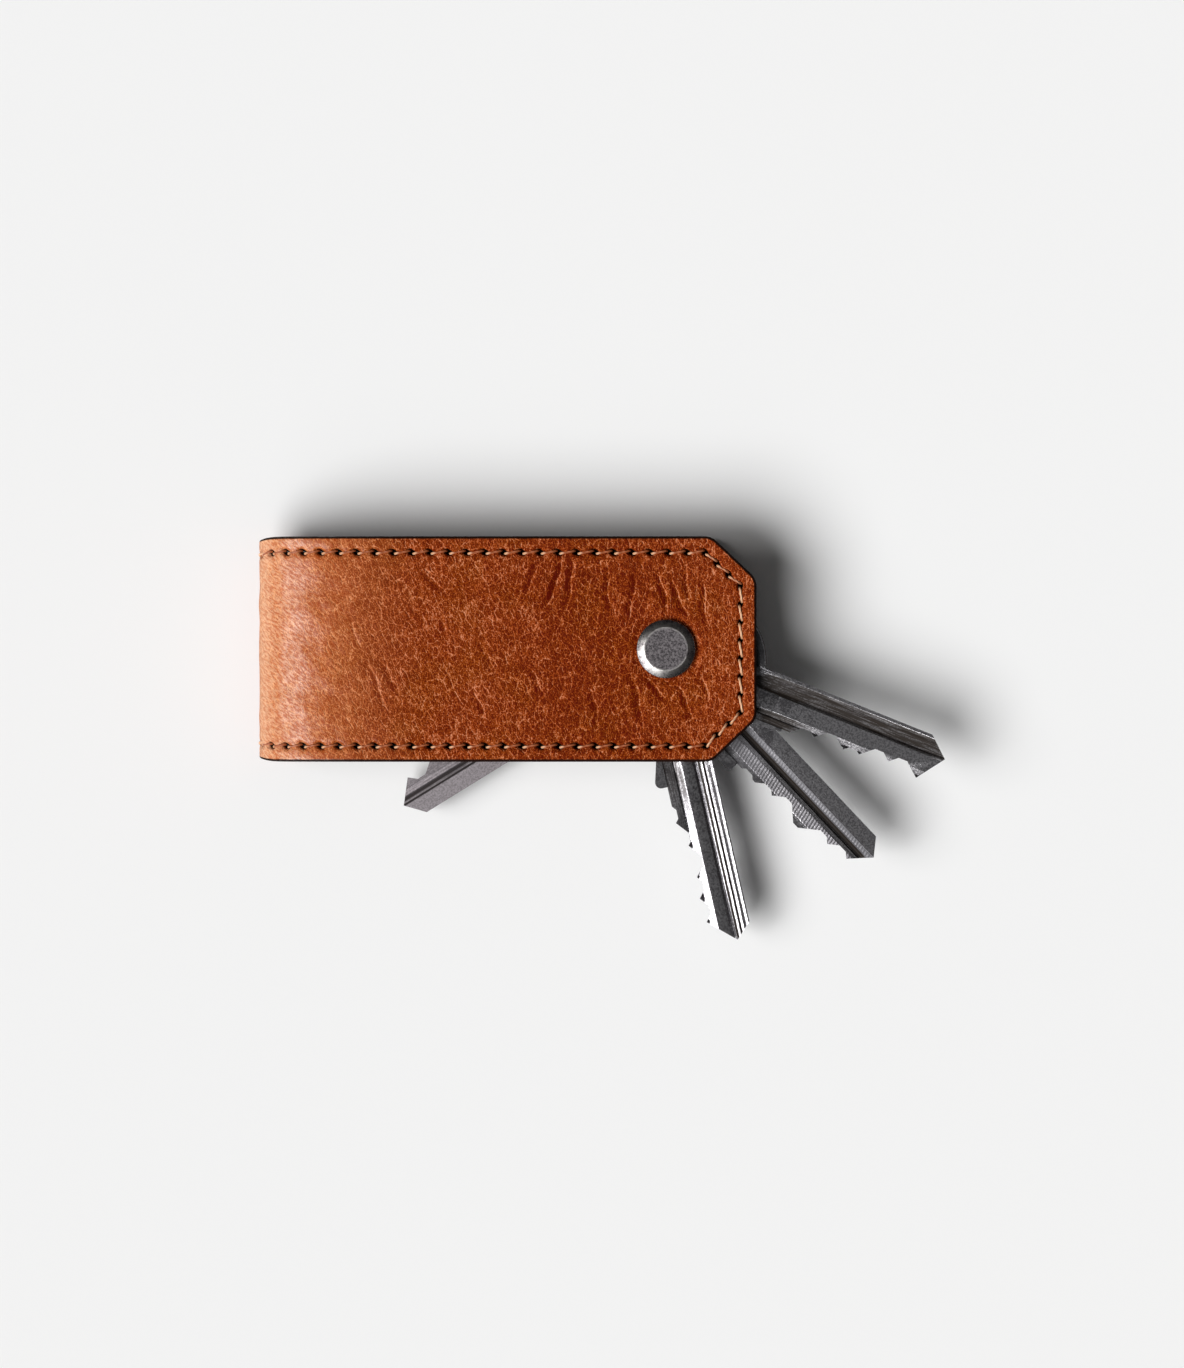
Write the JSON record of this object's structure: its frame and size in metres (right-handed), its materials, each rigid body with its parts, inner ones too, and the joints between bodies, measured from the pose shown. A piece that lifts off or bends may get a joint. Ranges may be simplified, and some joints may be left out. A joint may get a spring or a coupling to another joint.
{
  "type": "key case",
  "caption": "Folded leather key case with contrast stitching and a screw post, on which house keys swing out between its two leaves.",
  "frame": {"origin": "on the post axis, in the plane of the back leaf's outer face, which is the face that the case lies on", "axes": "+Z along the post towards the front head, +X along the strap away from its fold, +Y across the strap"},
  "size_m": [0.1146, 0.0674, 0.0172],
  "materials": {
    "tan_leather": "tan full-grain leather, waxed, with dark painted edges",
    "lining_leather": "thin dark brown lining leather, matt",
    "thread": "waxed tan polyester thread",
    "post_metal": "antique gunmetal plating, bead-blasted and worn bright on the edge",
    "key_metal": "nickel-plated brass, brushed and milled, dulled by use",
    "washer_plastic": "black nylon"
  },
  "bodies": {
    "case": {"outer_leather": "tan_leather", "lining_leather": "lining_leather", "outer_stitches": "thread", "lining_stitches": "thread", "post_barrel": "post_metal", "post_screw": "post_metal", "washer_1": "washer_plastic", "washer_2": "washer_plastic", "washer_3": "washer_plastic", "washer_4": "washer_plastic", "washer_5": "washer_plastic"},
    "key_1": {"key_1": "key_metal"},
    "key_2": {"key_2": "key_metal"},
    "key_3": {"key_3": "key_metal"},
    "key_4": {"key_4": "key_metal"}
  },
  "joints": [
    {"name": "key_1_swing", "type": "hinge", "parent": "case", "child": "key_1", "pos_m": [0, 0, 0.0119], "axis": [0, 0, 1], "continuous": true},
    {"name": "key_2_swing", "type": "hinge", "parent": "case", "child": "key_2", "pos_m": [0, 0, 0.0093], "axis": [0, 0, 1], "continuous": true},
    {"name": "key_3_swing", "type": "hinge", "parent": "case", "child": "key_3", "pos_m": [0, 0, 0.0067], "axis": [0, 0, 1], "continuous": true},
    {"name": "key_4_swing", "type": "hinge", "parent": "case", "child": "key_4", "pos_m": [0, 0, 0.0041], "axis": [0, 0, 1], "continuous": true}
  ]
}
